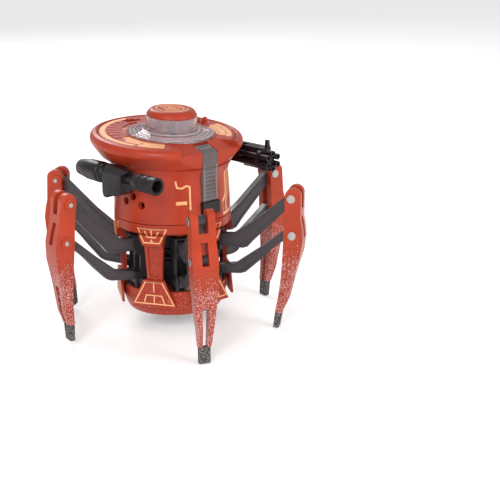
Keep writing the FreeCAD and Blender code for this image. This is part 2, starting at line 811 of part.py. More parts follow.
def saucer_rim():
    """Wide brim, set back from the drum, with a sloping hood between two radial lines."""
    body = turned("saucer_rim", [
        ("saucer_bore", "drum_top"),
        ("saucer_radius - 4.4", "drum_top"),
        ("saucer_radius - 2.4", "drum_top + 2.6"),
        ("saucer_radius - 0.8", "saucer_widest - 2.4", "saucer_radius", "saucer_widest"),
        ("saucer_radius - 1.2", "saucer_widest + 2.1"),
        ("saucer_inner + 0.8", "lid_top + 0.2"),
        ("saucer_inner", "lid_top - 0.4"),
        ("saucer_inner", "lid_top - wall"),
        ("saucer_inner - 1", "lid_top - wall"),
        ("saucer_inner - 1.6", "drum_top + 1.4"),
        ("saucer_bore", "drum_top + 1.4"),
    ])
    front = "-prow - saucer_shift"
    back = "-hood_back - saucer_shift"
    hood = new_sketch(body, "XY_Plane", "drum_top")
    outline(hood, [("-11.2", back), ("11.2", back), ("17.4", f"{front} - 2"), ("-17.4", f"{front} - 2")])
    pad(body, hood, "hood_height - drum_top")
    hollow = new_sketch(body, "YZ_Plane")
    outline(hollow, [
        (f"{back} + 1", "hood_height - 1.8"),
        (f"{back}", "hood_height - 1.8"),
        (f"{front} + 2.2", "prow_height - 1.2"),
        (f"{front} + 2.2", "drum_top - 1"),
        (f"{back} + 1", "drum_top - 1"),
    ])
    pocket(body, hollow, "2 * 7", "Symmetric")
    inside = new_sketch(body, "XY_Plane", "drum_top + 1.4")
    circle(inside, "0", "-saucer_shift", "drum_radius - 2.4")
    pocket(body, inside, "hood_height - drum_top - 5.4", reverse=True)
    skirt = new_sketch(body, "XZ_Plane")
    outline(skirt, [
        ("saucer_radius - 4.45", "drum_top - 1"),
        ("saucer_radius - 4.45", "drum_top"),
        ("saucer_radius - 2.45", "drum_top + 2.6"),
        ("saucer_radius - 0.85", "saucer_widest - 2.4", "saucer_radius - 0.05", "saucer_widest"),
        ("saucer_radius - 1.25", "saucer_widest + 2.1"),
        ("saucer_radius - 1.25", "hood_height + 4"),
        ("saucer_radius + 20", "hood_height + 4"),
        ("saucer_radius + 20", "drum_top - 1"),
    ])
    carve(body, skirt)
    nose = new_sketch(body, "XY_Plane", "drum_top - 1")
    rectangle(nose, "-40", "-60", "40", front)
    pocket(body, nose, "20", reverse=True)
    slope = new_sketch(body, "XY_Plane", "hood_height")
    fall = math.atan2(value("hood_height - prow_height"), value("prow - hood_back"))
    slope.AttachmentOffset = App.Placement(App.Vector(), App.Rotation(App.Vector(1, 0, 0), math.degrees(fall)))
    slope.setExpression("AttachmentOffset.Base.y", bound(back))
    slope.setExpression("AttachmentOffset.Base.z", bound("hood_height"))
    outline(slope, [("-10.8", "1"), ("10.8", "1"), ("22.8", "-20"), ("-22.8", "-20")])
    pocket(body, slope, "12", reverse=True)
    slot = new_sketch(body, "XY_Plane", "drum_top - 1")
    rectangle(slot, "-visor_half - 0.1", "-60", "visor_half + 0.1", back)
    pocket(body, slot, "20", reverse=True)
    body.Placement = on_head("saucer_shift")
    return body


def top_plate():
    """Lid inside the brim: a flat disc with a fin pair, a switch slot and the sensor's hole."""
    body = turned("top_plate", [
        ("0", "lid_top"),
        ("0", "lid_top - wall"),
        ("saucer_inner - 0.1", "lid_top - wall"),
        ("saucer_inner - 0.1", "lid_top - 0.5"),
        ("saucer_inner - 0.7", "lid_top"),
    ])
    back = "-hood_back - saucer_shift"
    slope = new_sketch(body, "XY_Plane", "drum_top")
    outline(slope, [
        ("-11.3", f"{back} + 0.1"),
        ("11.3", f"{back} + 0.1"),
        ("36.2", "-60 - saucer_shift"),
        ("-36.2", "-60 - saucer_shift"),
    ])
    pocket(body, slope, "20", reverse=True)
    hole = new_sketch(body, "XY_Plane", "drum_top")
    circle(hole, "0", "-saucer_shift", "3")
    pocket(body, hole, "20", reverse=True)
    slot = new_sketch(body, "XY_Plane", "drum_top")
    rectangle(slot, "-4", "22.8", "4", "25.2")
    pocket(body, slot, "20", reverse=True)
    for left, low in (("20", "-3"), ("22.8", "4")):
        fin = new_sketch(body, "YZ_Plane", left)
        outline(fin, [(low, "lid_top - 0.6"), (f"{low} + 4.4", "lid_top - 0.6"), (f"{low} + 2.8", "lid_top + 2.4")])
        pad(body, fin, "1.2")
    body.Placement = on_head("saucer_shift")
    return body


def sensor_turret():
    """Clear dish and clear round window, moulded as one piece."""
    body = turned("sensor_turret", [
        ("turret_radius - 1", "lid_top"),
        ("dish_radius", "lid_top"),
        ("dish_radius", "dish_rim"),
        ("turret_radius + 3", "dish_rim + 0.4"),
        ("turret_radius + 1.4", "dish_rim + 1.2"),
        ("turret_radius + 0.3", "dish_rim + 1.2"),
        ("turret_radius", "turret_top"),
        ("turret_radius - 1", "turret_top"),
    ])
    body.Placement = on_head()
    return body


def turret_cap():
    """Coloured lid of the round window, with a raised centre."""
    body = turned("turret_cap", [
        ("0", "turret_top - 0.8"),
        ("turret_radius - 1.1", "turret_top - 0.8"),
        ("turret_radius - 1.1", "turret_top"),
        ("turret_radius", "turret_top"),
        ("turret_radius", "turret_top + 0.6"),
        ("cap_radius", "cap_top - 1.5", "cap_radius - 0.8", "cap_top - 0.5"),
        ("cap_radius - 2.8", "cap_top"),
        ("0", "cap_top"),
    ])
    body.Placement = on_head()
    return body


def ir_receiver():
    """Infrared receiver on its stalk, from the circuit board up into the round window."""
    body = turned("ir_receiver", [
        ("0", "drum_top + 3.4"),
        ("2.6", "drum_top + 3.4"),
        ("2.6", "lid_top + 2.2"),
        ("0", "lid_top + 2.2"),
    ])
    disc_pad(body, "0", "0", "1.4", "lid_top + 2", "turret_top - 4.4")
    doc.recompute()
    cone = new_sketch(body, "XZ_Plane")
    outline(cone, [
        ("0", "turret_top - 4.6"),
        ("1.4", "turret_top - 4.6"),
        ("3.4", "turret_top - 0.9"),
        ("0", "turret_top - 0.9"),
    ])
    revolve(body, cone)
    body.Placement = on_head()
    return body


def visor_light_guide():
    """Clear strip that folds over the hood's edge and runs down the drum's face."""
    body = new_body("visor_light_guide")
    side = new_sketch(body, "YZ_Plane")
    outline(side, [
        leaned("-hood_back - 1.6", "hood_height - 0.75"),
        leaned("-prow", "prow_height - 0.15"),
        ("-prow - 0.5", "drum_top - 1.6"),
        ("-drum_radius - 0.4", "drum_top - 2"),
        ("-drum_radius - 0.4", "visor_bottom"),
        ("-drum_radius + 1.6", "visor_bottom"),
        ("-drum_radius + 1.6", "drum_top + 2"),
        leaned("-prow + 2.2", "prow_height - 1.6"),
        leaned("-hood_back - 1.6", "hood_height - 2.3"),
    ])
    pad(body, side, "2 * visor_half", "Symmetric")
    return body


def emitter_window():
    """Dark infrared window under the visor strip."""
    body = new_body("emitter_window")
    face = new_sketch(body, "XZ_Plane", "drum_radius - 2")
    rectangle(face, "-emitter_half", "emitter_bottom", "emitter_half", "visor_bottom")
    pad(body, face, "3.2")
    return body


def power_switch():
    """Sliding knob in the lid's rear slot."""
    body = new_body("power_switch")
    stem = new_sketch(body, "XY_Plane", "lid_top - wall - 1.2")
    rectangle(stem, "-3.8", "-1.1", "-0.6", "1.1")
    pad(body, stem, "wall + 2.4")
    body.Placement = on_head("24 + saucer_shift")
    return body


def battery_door():
    """Curved hatch on the back of the drum."""
    body = new_body("battery_door")
    low = "drum_floor + 1"
    high = "drum_waist_height - 1"
    section = new_sketch(body, "YZ_Plane")
    outline(section, [
        (drum_wall(low), low),
        (f"{drum_wall(low)} + 0.7", f"{low} + 0.5"),
        (f"{drum_wall(high)} + 0.7", f"{high} - 0.5"),
        (drum_wall(high), high),
    ])
    revolve(body, section, 54.0, True)
    return body


def circuit_board():
    """Round board inside the saucer, standing on the brim's inner floor."""
    body = new_body("circuit_board")
    disc = new_sketch(body, "XY_Plane", "drum_top + 1.6")
    circle(disc, "0", "0", "saucer_bore + 2.2")
    pad(body, disc, "wall")
    posts = new_sketch(body, "XY_Plane", "drum_top + 1.4")
    for across, up in (("24", "0"), ("-24", "0"), ("0", "24")):
        circle(posts, across, up, "0.9")
    pad(body, posts, "0.4")
    body.Placement = on_head("saucer_shift")
    return body


def button_cells():
    """Stack of three button cells behind the battery door."""
    body = new_body("button_cells")
    for index in range(3):
        low = f"drum_floor + {index} * (cell_thick + 0.1)"
        disc_pad(body, "0", "16.6", "cell_radius", low, f"{low} + cell_thick")
    return body


def drive_motors():
    """Two small can motors upright on the drum's floor: one walks, one steers."""
    body = new_body("drive_motors")
    for across in ("-9", "9"):
        disc_pad(body, across, "-5", "motor_radius", "drum_floor", "drum_floor + motor_length")
        disc_pad(body, across, "-5", "0.8", "drum_floor + motor_length - 0.2", "drum_floor + motor_length + 3")
    return body


# ---------------------------------------------------------------- clip-on side pods


def turned_along_y(label, out, height, corners):
    """A body turned from (radius, distance) corners, then laid so that its axis runs along Y."""
    body = turned(label, corners)
    lay = App.Rotation(App.Vector(1, 0, 0), -90)
    body.Placement = App.Placement(App.Vector(value(out), 0, value(height)), lay)
    return body


def cannon_barrel():
    """Smooth round tail, plain tube through the bracket, ribbed muzzle with a deep bore."""
    rib = "cannon_muzzle + 3.2"
    return turned_along_y("cannon_barrel", "-cannon_out", "cannon_height", [
        ("0", "cannon_tail"),
        ("0", "cannon_muzzle + 5"),
        ("2.1", "cannon_muzzle + 5"),
        ("2.5", "cannon_muzzle"),
        ("cannon_radius", "cannon_muzzle"),
        ("cannon_radius", rib),
        ("cannon_radius - 0.4", f"{rib} + 0.4"),
        ("cannon_radius - 0.4", f"{rib} + 1.6"),
        ("cannon_radius", f"{rib} + 2"),
        ("cannon_radius", f"{rib} + 4.4"),
        ("cannon_radius - 0.4", f"{rib} + 4.8"),
        ("cannon_radius - 0.4", f"{rib} + 6"),
        ("cannon_radius", f"{rib} + 6.4"),
        ("cannon_radius - 0.3", f"{rib} + 10"),
        ("2.3", f"{rib} + 12"),
        ("2.3", "2"),
        ("tail_radius - 1", "2.2"),
        ("tail_radius - 0.2", "3.4"),
        ("tail_radius - 0.2", "4.2"),
        ("tail_radius - 0.7", "4.6"),
        ("tail_radius - 0.7", "5.4"),
        ("tail_radius", "6"),
        ("tail_radius - 0.2", "14.5"),
        ("tail_radius - 1.2", "cannon_tail - 2.2"),
        ("tail_radius - 2.4", "cannon_tail - 0.6"),
        ("1", "cannon_tail"),
    ])


def cannon_bracket():
    """Block that clips under the brim and holds the cannon."""
    body = new_body("cannon_bracket")
    side = new_sketch(body, "YZ_Plane", "-cannon_out")
    outline(side, [
        ("1.8", "drum_top + 0.8"),
        ("1.6", "cannon_height + 1.7"),
        ("1.7", "cannon_height - 7.4"),
        ("0.9", "cannon_height - 9.1"),
        ("-1.1", "cannon_height - 9.3"),
        ("-2.5", "cannon_height - 7.8"),
        ("-7.2", "cannon_height - 7.7"),
        ("-9.4", "cannon_height - 7.1"),
        ("-11.4", "cannon_height - 5.4"),
        ("-11.6", "cannon_height + 2"),
        ("-13.6", "cannon_height + 2.6"),
        ("-14", "drum_top - 0.3"),
    ])
    pad(body, side, "2 * 3.6", "Symmetric")
    crown = new_sketch(body, "XZ_Plane")
    outline(crown, [
        ("-28", "drum_top + 3"),
        ("-28", "drum_top - 1.4"),
        ("-29.6", "drum_top - 1.4"),
        ("-31.6", "drum_top + 0.6"),
        ("-33.4", "drum_top + 0.8"),
        ("-38.8", "drum_top - 4.6"),
        ("-38.8", "drum_top + 3"),
    ])
    pocket(body, crown, "60", "Symmetric")
    bore = new_sketch(body, "XZ_Plane")
    circle(bore, "-cannon_out", "cannon_height", "2.32")
    pocket(body, bore, "60", "Symmetric")
    clip = new_sketch(body, "XY_Plane", "drum_top - 2.4")
    rectangle(clip, "-cannon_out + 3", "-4", "-27.3", "1.6")
    pad(body, clip, "1.8")
    return body


def gatling_blaster():
    """Rotary gun: foot, flat top plank with a sight post, and six long bored barrels in a collar."""
    body = new_body("gatling_blaster")
    foot = new_sketch(body, "XZ_Plane", "-2")
    outline(foot, [
        ("pod_out - 2.6", "pod_height - 3"),
        ("pod_out + 3.4", "pod_height - 3"),
        ("pod_out + 4", "pod_height - 2.4"),
        ("pod_out + 4", "drum_top - 0.8"),
        ("pod_out - 2.6", "drum_top - 0.8"),
    ])
    pad(body, foot, "20")
    plank = new_sketch(body, "XY_Plane", "pod_height + 1.2")
    outline(plank, [
        ("pod_out - 2", "-17"),
        ("pod_out - 2", "-28.2"),
        ("pod_out - 1.2", "-29.6"),
        ("pod_out + 2.8", "-29.6"),
        ("pod_out + 3.8", "-28.2"),
        ("pod_out + 3.8", "-1.5"),
        ("pod_out + 1.6", "-1.5"),
        ("pod_out + 1.6", "-17"),
    ])
    pad(body, plank, "4")
    groove = new_sketch(body, "XY_Plane", "pod_height + 5.2")
    rectangle(groove, "pod_out + 0.4", "-25.4", "pod_out + 1.2", "-17")
    pocket(body, groove, "0.5")
    post = new_sketch(body, "XZ_Plane", "27.4")
    outline(post, [
        ("pod_out + 1", "pod_height + 5"),
        ("pod_out + 3", "pod_height + 5"),
        ("pod_out + 2.6", "pod_height + 8.4"),
        ("pod_out + 1.4", "pod_height + 8.4"),
    ])
    pad(body, post, "1.6")
    hub = new_sketch(body, "XZ_Plane", "16")
    circle(hub, "pod_out", "pod_height", "2.2")
    pad(body, hub, "16.4")
    collar = new_sketch(body, "XZ_Plane", "27")
    circle(collar, "pod_out", "pod_height", "pod_radius")
    pad(body, collar, "2")
    barrels = new_sketch(body, "XZ_Plane", "16")
    bores = new_sketch(body, "XZ_Plane", "34")
    for index in range(6):
        turn = 60 * index + 30
        across = f"pod_out + 3.3 * cos({turn})"
        up = f"pod_height + 3.3 * sin({turn})"
        circle(barrels, across, up, "1.35")
        circle(bores, across, up, "0.75")
    pad(body, barrels, "18")
    pocket(body, bores, "2.4")
    tongue = new_sketch(body, "XY_Plane", "drum_top - 1")
    rectangle(tongue, "pod_out - 2.2", "-3", "pod_out - 0.8", "1")
    pad(body, tongue, "0.7")
    return body


# ---------------------------------------------------------------- build, check and write


def build():
    parts = [base_bowl(), belly_plate(), belly_screws(), waist_pillars(), deck_ring(), drive_core()]
    push = "drive_reach * sin(swing_mid)"
    parts.append(stride_plate("stride_plate_a", "plate_high", 0, push))
    parts.append(stride_plate("stride_plate_b", "plate_low", 60, f"-{push}"))
    for leg in LEGS:
        for maker in (hip_yoke, upper_arm, lower_arm, shin, knee_pins, foot_tip):
            parts.append(maker(leg))
    parts += [head_drum(), saucer_rim(), top_plate(), sensor_turret(), turret_cap(), ir_receiver()]
    parts += [visor_light_guide(), emitter_window(), power_switch(), battery_door()]
    parts += [circuit_board(), button_cells(), drive_motors()]
    parts += [cannon_bracket(), cannon_barrel(), gatling_blaster()]
    return parts


def write(parts):
    doc.recompute()
    for item in doc.Objects:
        if "Invalid" in item.State or "Error" in item.State:
            raise RuntimeError(f"{item.Label} did not compute")
    os.makedirs("parts", exist_ok=True)
    for part in parts:
        shape = part.Shape
        if shape.isNull() or not shape.isValid() or shape.Volume <= 0:
            raise RuntimeError(f"{part.Label} has no valid solid")
        shape.exportStep(f"parts/{part.Label}.step")
        print(part.Label, len(shape.Solids), round(shape.Volume, 1))


write(build())
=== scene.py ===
import json
import math

import bmesh
import bpy
from mathutils import Matrix, Vector
from mathutils.bvhtree import BVHTree


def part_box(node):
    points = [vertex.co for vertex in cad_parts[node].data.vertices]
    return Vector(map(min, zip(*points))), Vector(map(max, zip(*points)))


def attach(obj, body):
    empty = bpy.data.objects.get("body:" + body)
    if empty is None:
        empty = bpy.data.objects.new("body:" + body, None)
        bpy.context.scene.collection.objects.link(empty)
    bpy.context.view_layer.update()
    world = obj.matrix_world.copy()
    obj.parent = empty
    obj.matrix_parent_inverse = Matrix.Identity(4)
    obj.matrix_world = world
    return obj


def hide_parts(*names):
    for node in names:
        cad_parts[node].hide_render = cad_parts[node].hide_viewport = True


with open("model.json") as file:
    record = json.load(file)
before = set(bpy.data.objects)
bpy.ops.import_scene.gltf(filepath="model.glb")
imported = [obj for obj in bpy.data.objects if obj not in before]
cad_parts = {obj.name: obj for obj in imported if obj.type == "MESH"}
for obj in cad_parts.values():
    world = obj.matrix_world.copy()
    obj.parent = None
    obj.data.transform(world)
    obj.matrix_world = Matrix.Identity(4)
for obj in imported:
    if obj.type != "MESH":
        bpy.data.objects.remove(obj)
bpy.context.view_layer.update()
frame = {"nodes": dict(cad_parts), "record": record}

MM = 0.001
RECORD = frame["record"]
JOINTS = RECORD["behaviour"]["joints"]
BODY_OF = {
    node: body
    for body, nodes in RECORD["behaviour"]["bodies"].items()
    for node in nodes
}
SLOT_OF = {part["node"]: part["material_slot"] for part in RECORD["subparts"]}

# Colours, linear RGB
RED = (0.37, 0.033, 0.010)
LEG_RED = (0.395, 0.038, 0.010)
GOLD = (0.88, 0.44, 0.21)
FLECK = (0.56, 0.27, 0.25)
ARM_GREY = (0.060, 0.051, 0.057)
BLACK = (0.010, 0.007, 0.009)
CORE_BLACK = (0.02, 0.018, 0.02)
EMITTER_BLACK = (0.012, 0.01, 0.012)
STEEL_GREY = (0.46, 0.42, 0.39)
RUBBER_DARK = (0.035, 0.033, 0.034)
RUBBER_SPOTS = (0.30, 0.27, 0.26)
BOARD_GREEN = (0.01, 0.09, 0.03)
PAD_GOLD = (0.25, 0.2, 0.05)
SMOKE = (0.96, 0.84, 0.88)
RIDGE_SMOKE = (0.93, 0.71, 0.75)
VISOR_SMOKE = (0.21, 0.165, 0.165)
# Lighter smoke for the visor's ribs and beads: partly their own lighter tone, and on the edge
# beads a painted highlight along the visor's edges
RIB_SMOKE_AND_HIGHLIGHT = (0.38, 0.32, 0.32)
FLOOR_PALE = (0.93, 0.93, 0.93)
FLOOR_PALER = (0.97, 0.97, 0.97)
WHITE = (1.0, 1.0, 1.0, 1.0)

# Noise patterns, in features per metre
FLOOR_BLOTCHES = 20
BLOTCHES = 90
FLOW = 120
GLOSS_CHANGES = 160
FLECK_DRIFT = 260
BOARD_PADS = 420
SCRATCHES = 500
SCUFFS = 700
BRUSHED = 900
WORN_INK = 900
RUBBER_GRAIN = 1500
SPECKLE = 2100
GRAIN = 2600
INK_GRAIN = 3000

# Most of a noise pattern's values lie between these
NOISE_LOW = 0.35
NOISE_HIGH = 0.65


# ---------------------------------------------------------------- materials


class Look:
    """A node material under construction."""

    SPECULAR = 0.3

    def __init__(self, name, rough, metal=0.0):
        self.material = bpy.data.materials.new(name)
        self.material.use_nodes = True
        self.tree = self.material.node_tree
        self.shader = self.tree.nodes["Principled BSDF"]
        self.shader.inputs["Roughness"].default_value = rough
        self.shader.inputs["Metallic"].default_value = metal
        self.shader.inputs["Specular IOR Level"].default_value = self.SPECULAR
        self.where = self.tree.nodes.new("ShaderNodeTexCoord").outputs["Object"]

    def link(self, source, target):
        self.tree.links.new(source, target)

    def noise(self, scale, detail=3.0, stretch=None):
        """Noise between about 0.3 and 0.7.  The scale is in features per metre."""
        node = self.tree.nodes.new("ShaderNodeTexNoise")
        node.inputs["Scale"].default_value = scale
        node.inputs["Detail"].default_value = detail
        place = self.where
        if stretch:
            squeeze = self.tree.nodes.new("ShaderNodeMapping")
            squeeze.inputs["Scale"].default_value = stretch
            self.link(self.where, squeeze.inputs["Vector"])
            place = squeeze.outputs["Vector"]
        self.link(place, node.inputs["Vector"])
        return node.outputs["Fac"]

    def cells(self, scale):
        """Distance from the middle of the nearest cell."""
        node = self.tree.nodes.new("ShaderNodeTexVoronoi")
        node.inputs["Scale"].default_value = scale
        self.link(self.where, node.inputs["Vector"])
        return node.outputs["Distance"]

    def math(self, kind, first, second):
        node = self.tree.nodes.new("ShaderNodeMath")
        node.operation = kind
        for socket, value in zip(node.inputs, (first, second)):
            if isinstance(value, (int, float)):
                socket.default_value = value
            else:
                self.link(value, socket)
        return node.outputs[0]

    def spread(self, value, low, high, new_low=0.0, new_high=1.0):
        """The value with low to high stretched to a new range, and held at its ends."""
        node = self.tree.nodes.new("ShaderNodeMapRange")
        self.link(value, node.inputs["Value"])
        limits = {"From Min": low, "From Max": high, "To Min": new_low, "To Max": new_high}
        for name, number in limits.items():
            node.inputs[name].default_value = number
        return node.outputs[0]

    def axis(self, name):
        """The place along one axis, in metres."""
        node = self.tree.nodes.new("ShaderNodeSeparateXYZ")
        self.link(self.where, node.inputs[0])
        return node.outputs[name]

    def mix(self, amount, first, second):
        """From the first colour to the second."""
        node = self.tree.nodes.new("ShaderNodeMix")
        node.data_type = "RGBA"
        sockets = (node.inputs[0], node.inputs[6], node.inputs[7])
        for socket, value in zip(sockets, (amount, first, second)):
            if isinstance(value, tuple):
                socket.default_value = (*value, 1.0)
            elif isinstance(value, (int, float)):
                socket.default_value = value
            else:
                self.link(value, socket)
        return node.outputs[2]

    def colour(self, value):
        self.link(value, self.shader.inputs["Base Color"])

    def roughness(self, value):
        self.link(value, self.shader.inputs["Roughness"])

    def bump(self, height, depth, strength):
        node = self.tree.nodes.new("ShaderNodeBump")
        node.inputs["Strength"].default_value = strength
        node.inputs["Distance"].default_value = depth
        self.link(height, node.inputs["Height"])
        self.link(node.outputs["Normal"], self.shader.inputs["Normal"])


def shade(colour, factor):
    return tuple(channel * factor for channel in colour)


def flecked(look, colour, base, low, high, most):
    """The base colour with printed flecks, dense up to one height and gone at another, in mm,
    and the colour under them darker towards the bottom.
    """
    none, full = 0.25, 0.482
    wanted = look.spread(look.axis("Z"), low * MM, high * MM, most, 0.0)
    drifting = look.spread(look.noise(FLECK_DRIFT, 1), NOISE_LOW, NOISE_HIGH, 0.88, 1.08)
    wanted = look.math("MULTIPLY", wanted, drifting)
    speckle = look.noise(SPECKLE, 2)
    edge = look.spread(wanted, 0.0, 1.0, none, full)
    covered = look.math("LESS_THAN", speckle, edge)
    # The colour under the flecks grows darker towards the bottom, by height alone
    darker = look.mix(wanted, base, shade(colour, 0.68))
    return look.mix(covered, darker, FLECK)


def moulded_plastic(name, colour, rough, flecks=None):
    """Moulded ABS: faint mottling, scuffs, fine grain, changes of gloss, and printed flecks."""
    look = Look(name, rough)
    blotches = look.spread(look.noise(BLOTCHES), NOISE_LOW, NOISE_HIGH)
    finish = look.mix(blotches, shade(colour, 0.9), shade(colour, 1.08))
    scuffs = look.spread(look.noise(SCUFFS, 5), 0.62, 0.72, 0.0, 0.35)
    finish = look.mix(scuffs, finish, shade(colour, 1.3))
    if flecks:
        finish = flecked(look, colour, finish, *flecks)
    look.colour(finish)
    gloss = look.noise(GLOSS_CHANGES, 4)
    look.roughness(look.spread(gloss, 0.3, 0.7, rough - 0.07, rough + 0.09))
    look.bump(look.noise(GRAIN, 2), 0.03 * MM, 0.35)
    return look.material


def brushed_metal(name, colour, rough):
    """Steel with fine streaks that run upwards."""
    look = Look(name, rough, 1.0)
    streaks = look.noise(BRUSHED, 3, (1.0, 1.0, 0.12))
    worn = look.spread(streaks, NOISE_LOW, NOISE_HIGH)
    look.colour(look.mix(worn, shade(colour, 0.8), shade(colour, 1.1)))
    look.roughness(look.spread(streaks, 0.3, 0.7, rough - 0.08, rough + 0.1))
    look.bump(streaks, 0.02 * MM, 0.3)
    return look.material


def toe_rubber(name):
    """Dark rubber with pale spots."""
    look = Look(name, 0.75)
    spots = look.math("LESS_THAN", look.noise(GRAIN, 2), 0.42)
    look.colour(look.mix(spots, RUBBER_DARK, RUBBER_SPOTS))
    look.bump(look.noise(RUBBER_GRAIN, 4), 0.08 * MM, 0.6)
    return look.material


def smoky_clear(name, tint, rough, clear):
    """Tinted clear plastic with flow lines and fine scratches."""
    look = Look(name, rough)
    look.shader.inputs["Transmission Weight"].default_value = clear
    look.shader.inputs["IOR"].default_value = 1.46
    flow = look.spread(look.noise(FLOW, 4), NOISE_LOW, NOISE_HIGH)
    look.colour(look.mix(flow, shade(tint, 0.88), tint))
    look.bump(look.noise(SCRATCHES, 3, (1.0, 1.0, 0.3)), 0.04 * MM, 0.4)
    return look.material


def printed_gold(name):
    """Gold ink, a little worn."""
    look = Look(name, 0.42, 0.15)
    worn = look.spread(look.noise(WORN_INK, 4), NOISE_LOW, 0.68)
    look.colour(look.mix(worn, shade(GOLD, 0.84), shade(GOLD, 1.05)))
    look.bump(look.noise(INK_GRAIN, 2), 0.02 * MM, 0.3)
    return look.material


def circuit_green(name):
    """A circuit board with round pads."""
    look = Look(name, 0.4)
    pads = look.math("LESS_THAN", look.cells(BOARD_PADS), 0.12)
    look.colour(look.mix(pads, BOARD_GREEN, PAD_GOLD))
    return look.material


RED_PLASTIC = moulded_plastic("red_plastic", RED, 0.36)
LEG_PLASTIC = moulded_plastic("leg_plastic", LEG_RED, 0.34, (31, 46, 0.9))
BASE_PLASTIC = moulded_plastic("base_plastic", RED, 0.38, (16, 60, 0.42))
ARM_PLASTIC = moulded_plastic("arm_plastic", ARM_GREY, 0.34)
POD_PLASTIC = moulded_plastic("pod_plastic", BLACK, 0.36)
CORE_PLASTIC = moulded_plastic("core_plastic", CORE_BLACK, 0.42)
EMITTER = moulded_plastic("emitter_plastic", EMITTER_BLACK, 0.16)
STEEL = brushed_metal("steel", STEEL_GREY, 0.34)
RUBBER = toe_rubber("toe_rubber")
CLEAR = smoky_clear("smoky_clear", SMOKE, 0.03, 0.86)
VISOR = smoky_clear("visor_clear", VISOR_SMOKE, 0.14, 0.5)
# Visor ribs and beads, lighter partly in their own tone and partly as a painted edge highlight
VISOR_RIB_AND_HIGHLIGHT = smoky_clear("visor_rib_and_highlight", RIB_SMOKE_AND_HIGHLIGHT, 0.10, 0.5)
PRINT = printed_gold("printed_gold")
RIDGE = smoky_clear("dish_ridge", RIDGE_SMOKE, 0.06, 0.5)
BOARD = circuit_green("circuit_green")


# ---------------------------------------------------------------- pieces

EDGE_ANGLE = math.radians(32.0)
EDGE_SEGMENTS = 3
FLAT_ANGLE = math.radians(1.0)

# Points nearer than this are one point, in metres
WELD = 2e-6
FINE_WELD = 1e-6


def own(piece, body, material, slot, *nodes):
    """Put a piece on its body with its material, standing for the CAD nodes that are named.

    The gold ink has no slot in the record, so its pieces pass None. The slot is not used."""
    piece.data.materials.clear()
    piece.data.materials.append(material)
    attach(piece, body)
    if nodes:
        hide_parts(*nodes)
    return piece


def new_piece(name, mesh):
    piece = bpy.data.objects.new(name, mesh)
    bpy.context.scene.collection.objects.link(piece)
    return piece


def soften(piece, edge):
    """Rounded moulded edges, so many mm wide, with smooth faces between them."""
    piece.data.set_sharp_from_angle(angle=EDGE_ANGLE)
    bevel = piece.modifiers.new("edge", "BEVEL")
    bevel.width = edge * MM
    bevel.segments = EDGE_SEGMENTS
    bevel.limit_method = "ANGLE"
    bevel.angle_limit = EDGE_ANGLE
    bevel.harden_normals = True


def moulded(node, edge, material, slot):
    """The CAD node's form as one clean skin with rounded edges."""
    mesh = frame["nodes"][node].data.copy()
    skin = bmesh.new()
    skin.from_mesh(mesh)
    bmesh.ops.remove_doubles(skin, verts=skin.verts, dist=WELD)
    bmesh.ops.dissolve_limit(skin, angle_limit=FLAT_ANGLE, verts=skin.verts, edges=skin.edges)
    for face in skin.faces:
        face.smooth = True
    skin.to_mesh(mesh)
    skin.free()
    piece = new_piece(f"{node}_shell", mesh)
    soften(piece, edge)
    return own(piece, BODY_OF[node], material, slot, node)


FINISH = {
    "body_red": RED_PLASTIC,
    "leg_red": LEG_PLASTIC,
    "arm_grey": ARM_PLASTIC,
    "pod_black": POD_PLASTIC,
    "core_black": CORE_PLASTIC,
    "clear_smoke": CLEAR,
    "pin_steel": STEEL,
    "toe_rubber": RUBBER,
    "board_green": BOARD,
    "emitter_dark": EMITTER,
    "cell_steel": STEEL,
    "motor_steel": STEEL,
}
OWN_FINISH = {
    "waist_pillars": BASE_PLASTIC,
    "base_bowl": BASE_PLASTIC,
    "deck_ring": BASE_PLASTIC,
    "visor_light_guide": VISOR,
    "power_switch": RED_PLASTIC,
}
# Edge widths in mm, by the first word of the node's name
EDGE = 0.3
EDGES = {"shin": 0.55, "upper": 0.45, "lower": 0.4, "knee": 0.25, "foot": 0.5, "sensor": 0.15}


def carry_over():
    """Every CAD node as a piece with softened edges and its own finish."""
    for node in frame["nodes"]:
        slot = SLOT_OF[node]
        material = OWN_FINISH.get(node, FINISH[slot])
        moulded(node, EDGES.get(node.split("_")[0], EDGE), material, slot)


carry_over()


# ---------------------------------------------------------------- prints and relief

# Where rays start, in metres: above the head, and clear of the drum and of the shields
CEILING = 0.12
OUTSIDE_DRUM = 0.05
OUTSIDE_WAIST = 0.04

# The drum's radius at the prints, and the middles of the round parts of the head, in mm
DRUM_RADIUS = 26.0
BRIM_MIDDLE = (0.0, 2.4)
DISH_MIDDLE = (0.0, -0.7)
CAP_MIDDLE = (0.0, -1.6)

# How a strip is laid, in mm: its height over the surface, how far its sides go into it, the
# distance between its rows and the widest lane between two of its points
INK = 0.07
SINK = 0.08
STEP = 0.5
LANE = 0.7


class Surface:
    """The skin of one or more CAD nodes, for laying thin pieces on it."""

    def __init__(self, *nodes):
        skin = bmesh.new()
        for node in nodes:
            skin.from_mesh(frame["nodes"][node].data)
        self.tree = BVHTree.FromBMesh(skin)
        skin.free()

    def land(self, start, heading):
        """Where a ray meets the skin, or None."""
        return self.tree.ray_cast(start, heading)[0]


# A spot function takes a drawing's u and v in mm and gives a ray towards the surface.


def round_drum(u, v):
    """Round the drum from the visor and up, seen from outside."""
    angle = u / DRUM_RADIUS - math.pi / 2
    out = Vector((math.cos(angle), math.sin(angle), 0.0))
    return out * OUTSIDE_DRUM + Vector((0, 0, v * MM)), -out


def from_above(u, v):
    """Across and back, seen from above."""
    return Vector((u * MM, v * MM, CEILING)), Vector((0, 0, -1))


def facing_pillar(angle):
    """Across and up, seen by someone who faces one pillar."""
    out = Vector((math.cos(angle), math.sin(angle), 0.0))
    along = Vector((-out.y, out.x, 0.0))

    def spot(u, v):
        return out * OUTSIDE_WAIST + along * (u * MM) + Vector((0, 0, v * MM)), -out

    return spot


